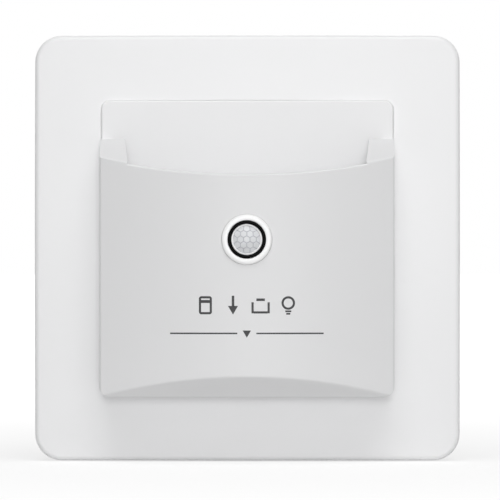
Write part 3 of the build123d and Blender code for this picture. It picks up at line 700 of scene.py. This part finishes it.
def surround_stations(sizes):
    """The section of the plate, as (width, height, radius, forward, drop), in turn from the
    back edge over the face to the inner wall. Where forward is None the loop lies this drop
    under the crowned face."""
    side = (sizes.plate_side, sizes.plate_side, sizes.plate_corner)
    opening = (OPENING_WIDTH, OPENING_HEIGHT, OPENING_CORNER)
    rim = sizes.plate_rim
    mouth = sizes.opening_rounding
    stations = [(*shrunk(side, PLATE_CHAMFER), 0.0, 0.0), (*side, PLATE_CHAMFER, 0.0)]
    for step in range(RIM_STEPS + 1):
        angle = step / RIM_STEPS * pi / 2
        loop = shrunk(side, rim * (1 - cos(angle)))
        stations.append((*loop, None, rim * (1 - sin(angle))))
    for step in range(1, FACE_STEPS + 1):
        loop = between(shrunk(side, rim), shrunk(opening, -mouth), step / FACE_STEPS)
        stations.append((*loop, None, 0.0))
    for step in range(1, MOUTH_STEPS + 1):
        angle = step / MOUTH_STEPS * pi / 2
        loop = shrunk(opening, -mouth * (1 - sin(angle)))
        stations.append((*loop, None, mouth * (1 - cos(angle))))
    collar = shrunk(opening, -COLLAR_WALL)
    inner = shrunk(side, PLATE_WALL)
    stations.append((*opening, COLLAR_FOOT, 0.0))
    stations.append((*collar, COLLAR_FOOT, 0.0))
    stations.append((*collar, None, PLATE_WALL))
    for share in BACK_SHARES:
        stations.append((*between(collar, inner, share), None, PLATE_WALL))
    stations.append((*inner, 0.0, 0.0))
    return stations


def crown_forward(x, z, sizes):
    """How far the crowned face stands before the wall."""
    ball = sizes.plate_crown
    top = OPENING_FORWARD + ball - sqrt(ball**2 - OPENING_REACH**2)
    return top - ball + sqrt(ball**2 - x**2 - z**2)


class KEYSWITCH_OT_surround(bpy.types.Operator):
    """Model the crowned wall plate with its rim, opening, collar and clip legs"""

    bl_idname = "key_switch.surround"
    bl_label = "Wall plate"

    def execute(self, context):
        sizes = context.scene.key_switch_sizes
        bm = bmesh.new()
        loops = [station_points(*station, sizes) for station in surround_stations(sizes)]
        edges = outline(bm, sizes.plate_side, sizes.plate_side, sizes.plate_corner)
        for vertex, point in zip(sorted(bm.verts, key=turn_of), loops[0], strict=True):
            vertex.co = point
        for points in loops[1:] + loops[:1]:
            edges = next_loop(bm, edges, points)
        for x in (-CLIP_ACROSS, CLIP_ACROSS):
            for z in (-CLIP_UP, CLIP_UP):
                self.clip_leg(bm, x, z)
        made = piece("wall_plate", bm, "frame_white", "surround", "surround_frame")
        return {"FINISHED"}

    def clip_leg(self, bm, x, z):
        """One of the legs that hold the plate on the yoke."""
        place = Matrix.Translation((x, CLIP_MIDDLE, z)) @ Matrix.Diagonal((*CLIP_SIZE, 1))
        leg = bmesh.ops.create_cube(bm, size=1, matrix=place)
        edges = {edge for vertex in leg["verts"] for edge in vertex.link_edges}
        bmesh.ops.bevel(
            bm,
            geom=list(edges),
            offset=CLIP_ROUNDING,
            affect="EDGES",
            segments=3,
            profile=0.5,
            material=-1,
        )


def smoothed(name, node, slot, finish=None):
    """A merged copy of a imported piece, smooth over its curves and crisp at its edges."""
    bm = bmesh.new()
    bm.from_mesh(frame["nodes"][node].data)
    bmesh.ops.remove_doubles(bm, verts=bm.verts, dist=MERGE_DISTANCE)
    body = frame["nodes"][node]["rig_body"]
    made = finished(name, bm, finish or slot, body, node)
    return made


def on_cheek(vertex):
    """Whether a point of the cover lies in the plane of a cheek's inner wall."""
    return abs(abs(vertex.co.x) - CHEEK_INNER) < SAME_PLACE


def lip_end(mesh):
    """Height of the lip's ends, the lowest forward points of the cheeks' inner walls."""
    return min(
        vertex.co.z
        for vertex in mesh.vertices
        if on_cheek(vertex) and vertex.co.y < -LIP_FORWARD and vertex.co.z > LENS_HIGH.z
    )


class KEYSWITCH_OT_module(bpy.types.Operator):
    """Dress the card pocket's cover and the panel behind the card"""

    bl_idname = "key_switch.module"
    bl_label = "Card pocket"

    def execute(self, context):
        # The cover gets the darker copy of the white plastic, in which its shade is painted.
        cover = smoothed("pocket_front", "pocket_cover", "module_white", "pocket_white")
        self.lean(cover.data, context.scene.key_switch_sizes.cheek_lean)
        smoothed("card_panel", "module_base", "module_white")
        return {"FINISHED"}

    def lean(self, mesh, reach):
        """Lean the cheeks' inner walls apart towards their tops, to catch the light."""
        foot = lip_end(mesh)
        for vertex in mesh.vertices:
            if on_cheek(vertex) and vertex.co.z > foot:
                share = (vertex.co.z - foot) / (COVER_HIGH.z - foot)
                vertex.co.x *= 1 + share * reach / CHEEK_INNER


def lathe(corners, steps):
    """A ring turned from a closed section of (radius, forward, rounding) corners."""
    bm = bmesh.new()
    points = [bm.verts.new((radius * MM, -forward * MM, LENS_Z)) for radius, forward, _ in corners]
    bm.faces.new(points)
    for point, (_, _, rounding) in zip(points, corners, strict=True):
        if rounding:
            round_corners(bm, [point], rounding * MM, 5)
    section = bm.faces[:][0]
    line = [*section.edges, *section.verts]
    bmesh.ops.delete(bm, geom=[section], context="FACES_ONLY")
    bmesh.ops.spin(
        bm,
        geom=line,
        cent=(0, 0, LENS_Z),
        axis=(0, 1, 0),
        angle=2 * pi,
        steps=steps,
        use_merge=True,
    )
    return bm


def cell_places():
    """The centres of the honeycomb's nineteen cells, row by row."""
    for row in range(-CELL_ROWS, CELL_ROWS + 1):
        count = 2 * CELL_ROWS + 1 - abs(row)
        for column in range(count):
            yield (column - (count - 1) / 2) * CELL_PITCH, row * CELL_PITCH * sqrt(3) / 2


def honeycomb_dome(groove_depth):
    """The faceted dome of the lens, with shallow grooves round each cell. Its float layer
    says how deep in the grooves each point lies; there the lens finish paints their shade."""
    centre = LENS_RIM_FORWARD - sqrt(LENS_BALL**2 - LENS_RADIUS**2)
    height = centre + LENS_BALL - LENS_RIM_FORWARD
    bm = bmesh.new()
    depth = bm.verts.layers.float.new("groove")
    middle = Matrix.Translation((0, -LENS_RIM_FORWARD - height / 2, LENS_Z))
    bmesh.ops.create_cone(
        bm,
        cap_ends=True,
        segments=LENS_STEPS,
        radius1=LENS_RADIUS,
        radius2=LENS_RADIUS,
        depth=height,
        matrix=middle @ Matrix.Rotation(pi / 2, 4, "X"),
    )
    for x, z in cell_places():
        ahead = sqrt(LENS_BALL**2 - x**2 - z**2)
        cut = bmesh.ops.bisect_plane(
            bm,
            geom=bm.verts[:] + bm.edges[:] + bm.faces[:],
            plane_co=(x, -centre - ahead, LENS_Z + z),
            plane_no=(x, -ahead, z),
            clear_outer=True,
        )
        edges = [item for item in cut["geom_cut"] if isinstance(item, bmesh.types.BMEdge)]
        if edges:
            bmesh.ops.edgeloop_fill(bm, edges=edges)
    cells = [face for face in bm.faces if face.normal.y < -0.5]
    borders = {vertex for cell in cells for vertex in cell.verts}
    bmesh.ops.inset_individual(bm, faces=cells, thickness=GROOVE_HALF_WIDTH, depth=0)
    deeper = 1 - groove_depth / LENS_BALL
    space = Matrix.Translation((0, centre, -LENS_Z))
    bmesh.ops.scale(bm, verts=list(borders), vec=(deeper, deeper, deeper), space=space)
    # These points, down in the grooves, get the painted shade.
    for vertex in borders:
        vertex[depth] = 1.0
    return bm


class KEYSWITCH_OT_sensor(bpy.types.Operator):
    """Model the sensor's window: white bezel, black ring and honeycomb lens"""

    bl_idname = "key_switch.sensor"
    bl_label = "Sensor window"

    def execute(self, context):
        bezel = lathe(BEZEL_SECTION, WINDOW_STEPS)
        piece("window_bezel", bezel, "bezel_white", "module", "lens_bezel")
        ring = lathe(RING_SECTION, WINDOW_STEPS)
        piece("black_ring", ring, "ring_black", "module", "lens_ring")
        cup = lathe(CUP_SECTION, CUP_STEPS)
        piece("lens_cup", cup, "bezel_white", "module")
        dome = honeycomb_dome(context.scene.key_switch_sizes.groove_depth)
        piece("honeycomb_lens", dome, "lens_milky", "module", "fresnel_lens")
        return {"FINISHED"}


def cover_forward(x):
    """How far the bulged front of the cover stands before the wall at this x."""
    half = COVER_HIGH.x
    ball = (half**2 + COVER_BULGE**2) / (2 * COVER_BULGE)
    return COVER_FORWARD - ball + sqrt(ball**2 - x**2)


class KEYSWITCH_OT_sign(bpy.types.Operator):
    """Print four plain signs on the pocket (card, arrow, slot, lamp) over a thin rule"""

    bl_idname = "key_switch.sign"
    bl_label = "Card signs"

    def execute(self, context):
        thickness = context.scene.key_switch_sizes.print_thickness
        bm = bmesh.new()
        self.card(bm, -1.5 * SIGN_PITCH)
        self.arrow(bm, -0.5 * SIGN_PITCH)
        self.opening(bm, 0.5 * SIGN_PITCH)
        self.bulb(bm, 1.5 * SIGN_PITCH)
        self.rule(bm)
        long_edges = [edge for edge in bm.edges if edge.calc_length() > LONG_EDGE]
        bmesh.ops.subdivide_edges(bm, edges=long_edges, cuts=6, use_grid_fill=True)
        lifted = bmesh.ops.extrude_face_region(bm, geom=bm.faces[:])
        top = {item for item in lifted["geom"] if isinstance(item, bmesh.types.BMVert)}
        for vertex in bm.verts:
            proud = thickness if vertex in top else -thickness
            vertex.co.y = -cover_forward(vertex.co.x) - proud
        piece("card_signs", bm, "sign_ink", "module")
        return {"FINISHED"}

    def card(self, bm, x):
        """A card with a band near its top."""
        self.stroke(bm, 2.6, 3.6, 0.5, x, SIGN_ROW)
        self.bar(bm, 2.0, 0.6, x, SIGN_ROW + 0.75)

    def arrow(self, bm, x):
        """An arrow that points down into the slot."""
        self.bar(bm, 0.5, 2.2, x, SIGN_ROW + 0.8)
        self.point(bm, 1.15, x, SIGN_ROW - 0.7)

    def opening(self, bm, x):
        """A slot that is open at its top, with the card's edge over it."""
        self.bar(bm, SIGN_LINE, 2.2, x - 1.6, SIGN_ROW - 0.5)
        self.bar(bm, SIGN_LINE, 2.2, x + 1.6, SIGN_ROW - 0.5)
        self.bar(bm, 3.2 - SIGN_LINE, SIGN_LINE, x, SIGN_ROW - 1.42)
        self.bar(bm, 1.7, 0.5, x, SIGN_ROW + 1.1)

    def bulb(self, bm, x):
        """A round lamp with two bars for its foot."""
        self.stroke(bm, 2.7, 2.7, 1.34, x, SIGN_ROW + 0.45)
        self.bar(bm, 1.2, 0.34, x, SIGN_ROW - 1.2)
        self.bar(bm, 0.8, 0.34, x, SIGN_ROW - 1.7)

    def rule(self, bm):
        """Two thin bars with a small triangle between them."""
        self.bar(bm, *RULE_PART, -RULE_MIDDLE, RULE_ROW)
        self.bar(bm, *RULE_PART, RULE_MIDDLE, RULE_ROW)
        self.point(bm, 0.95, 0.0, RULE_ROW + 0.1)

    def stroke(self, bm, width, height, radius, x, z):
        """A rounded frame of the signs' line width."""
        loops = []
        for inset in (0.0, SIGN_LINE):
            size = (value * MM for value in shrunk((width, height, radius), inset))
            loops += outline(bm, *size, x * MM, z * MM, 8, 0)
        bmesh.ops.bridge_loops(bm, edges=loops)

    def bar(self, bm, width, height, x, z):
        """A filled bar."""
        shape = upright(x * MM, z * MM) @ Matrix.Diagonal((width * MM, height * MM, 1, 1))
        bmesh.ops.create_grid(bm, x_segments=2, y_segments=1, size=0.5, matrix=shape)

    def point(self, bm, radius, x, z):
        """A triangle that points down."""
        turn = upright(x * MM, z * MM) @ Matrix.Rotation(pi, 4, "Z")
        bmesh.ops.create_circle(bm, cap_ends=True, segments=3, radius=radius * MM, matrix=turn)


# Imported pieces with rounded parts, which get a smoothed copy.
ROUND_NODES = (
    "guide_screws",
    "cover_screws",
    "pir_can",
    "sensor_ribbon",
    "card_paddle",
    "paddle_pin",
    "relay_case",
    "film_capacitor",
    "electrolytic_capacitor",
    "varistor",
    "fuse_resistor",
    "rear_housing",
    "housing_screws",
    "terminal_housing",
    "mounting_yoke",
    *[f"terminal_screw_{number}" for number in range(1, 5)],
    *[f"clamp_cage_{number}" for number in range(1, 5)],
)


def slots_by_node():
    """The record's material slot of each node."""
    return {entry["node"]: entry["material_slot"] for entry in frame["record"]["subparts"]}


class KEYSWITCH_OT_inside(bpy.types.Operator):
    """Dress the yoke, the electronics, the terminals and the rear housing"""

    bl_idname = "key_switch.inside"
    bl_label = "Inner pieces"

    def execute(self, context):
        slots = slots_by_node()
        for node in ROUND_NODES:
            smoothed(f"{node}_fine", node, slots[node])
        for node, packed in frame["nodes"].items():
            packed.data.materials.clear()
            packed.data.materials.append(finish_of(slots[node]))
        return {"FINISHED"}


class KEYSWITCH_OT_stage(bpy.types.Operator):
    """Set the white floor, the soft studio light and the camera of the photograph"""

    bl_idname = "key_switch.stage"
    bl_label = "Studio"

    def execute(self, context):
        light = context.scene.key_switch_light
        self.floor()
        self.sky(light.sky)
        for name, setting, size, place in LAMPS:
            self.lamp(name, getattr(light, setting), size, place)
        self.camera(context.scene)
        context.scene.view_settings.view_transform = "Standard"
        return {"FINISHED"}

    def floor(self):
        """A wide pale floor under the plate, white to the eye but for a part of its shadow."""
        bm = bmesh.new()
        bmesh.ops.create_grid(bm, x_segments=1, y_segments=1, size=FLOOR_REACH)
        bmesh.ops.translate(bm, verts=bm.verts, vec=(0, 0, PLATE_LOW.z - FLOOR_GAP))
        mesh = bpy.data.meshes.new("floor")
        bm.to_mesh(mesh)
        bm.free()
        made = bpy.data.objects.new("floor", mesh)
        bpy.context.scene.collection.objects.link(made)
        material = bpy.data.materials.new("floor_white")
        self.paint_floor(Sheet(material))
        mesh.materials.append(material)

    def paint_floor(self, sheet):
        """Pale to the light, and white where it is looked at, less so near the switch."""
        pale = sheet.out(sheet.add("ShaderNodeBsdfDiffuse", {}, {"Color": FLOOR_COLOUR}))
        glow = {"Color": WHITE, "Strength": FLOOR_GLOW}
        white = sheet.out(sheet.add("ShaderNodeEmission", {}, glow))
        away = sheet.add("ShaderNodeVectorMath", {"operation": "LENGTH"}, {0: sheet.place()})
        distance = sheet.out(away, "Value")
        bare = sheet.math("MINIMUM", distance * BARE_SLOPE + BARE_NEAR, 1.0)
        mixed = sheet.add("ShaderNodeMixShader", {}, {0: sheet.seen() * bare, 1: pale, 2: white})
        sheet.add("ShaderNodeOutputMaterial", {}, {"Surface": sheet.out(mixed)})

    def sky(self, strength):
        """Even light from all round, white where it is looked at."""
        world = bpy.data.worlds.new("studio")
        bpy.context.scene.world = world
        sheet = Sheet(world)
        bright = sheet.seen() * (1.0 - strength) + strength
        shade = sheet.add("ShaderNodeBackground", {}, {"Color": WHITE, "Strength": bright})
        sheet.add("ShaderNodeOutputWorld", {}, {"Surface": sheet.out(shade)})

    def lamp(self, name, power, size, place):
        """A large square lamp that looks at the switch."""
        data = bpy.data.lights.new(name, "AREA")
        data.shape = "SQUARE"
        data.size = size
        data.energy = power
        made = bpy.data.objects.new(name, data)
        bpy.context.scene.collection.objects.link(made)
        made.location = place
        made.rotation_euler = (-Vector(place)).to_track_quat("-Z", "Y").to_euler()

    def camera(self, scene):
        """A long lens, a little right of the middle, as in the photograph."""
        data = bpy.data.cameras.new("camera")
        data.sensor_width = CAMERA_SENSOR
        data.lens = CAMERA_LENS
        data.clip_start, data.clip_end = CAMERA_RANGE
        made = bpy.data.objects.new("camera", data)
        scene.collection.objects.link(made)
        made.location = CAMERA_PLACE
        made.rotation_euler = (CAMERA_AIM - CAMERA_PLACE).to_track_quat("-Z", "Y").to_euler()
        scene.camera = made


# Every property group starts with this many properties of Blender's.
BUILT_IN_PROPERTIES = 2


class KEYSWITCH_PT_pieces(bpy.types.Panel):
    """The pieces of the switch, in the order they are built"""

    bl_label = "Key card switch"
    bl_space_type = "VIEW_3D"
    bl_region_type = "UI"
    bl_category = "Key switch"

    def draw(self, context):
        for operator in OPERATORS:
            self.layout.operator(operator.bl_idname)
        for settings in (
            context.scene.key_switch_sizes,
            context.scene.key_switch_colours,
            context.scene.key_switch_light,
        ):
            for name in settings.bl_rna.properties.keys()[BUILT_IN_PROPERTIES:]:
                self.layout.prop(settings, name)


OPERATORS = (
    KEYSWITCH_OT_surround,
    KEYSWITCH_OT_module,
    KEYSWITCH_OT_sensor,
    KEYSWITCH_OT_sign,
    KEYSWITCH_OT_inside,
    KEYSWITCH_OT_stage,
)
CLASSES = (KeySwitchSizes, KeySwitchColours, KeySwitchLight, *OPERATORS, KEYSWITCH_PT_pieces)


def register():
    for item in CLASSES:
        bpy.utils.register_class(item)
    bpy.types.Scene.key_switch_sizes = PointerProperty(type=KeySwitchSizes)
    bpy.types.Scene.key_switch_colours = PointerProperty(type=KeySwitchColours)
    bpy.types.Scene.key_switch_light = PointerProperty(type=KeySwitchLight)


def unregister():
    del bpy.types.Scene.key_switch_light
    del bpy.types.Scene.key_switch_colours
    del bpy.types.Scene.key_switch_sizes
    for item in reversed(CLASSES):
        bpy.utils.unregister_class(item)


def main():
    register()
    bpy.ops.key_switch.surround()
    bpy.ops.key_switch.module()
    bpy.ops.key_switch.sensor()
    bpy.ops.key_switch.sign()
    bpy.ops.key_switch.inside()
    bpy.ops.key_switch.stage()


if __name__ == "__main__":
    main()
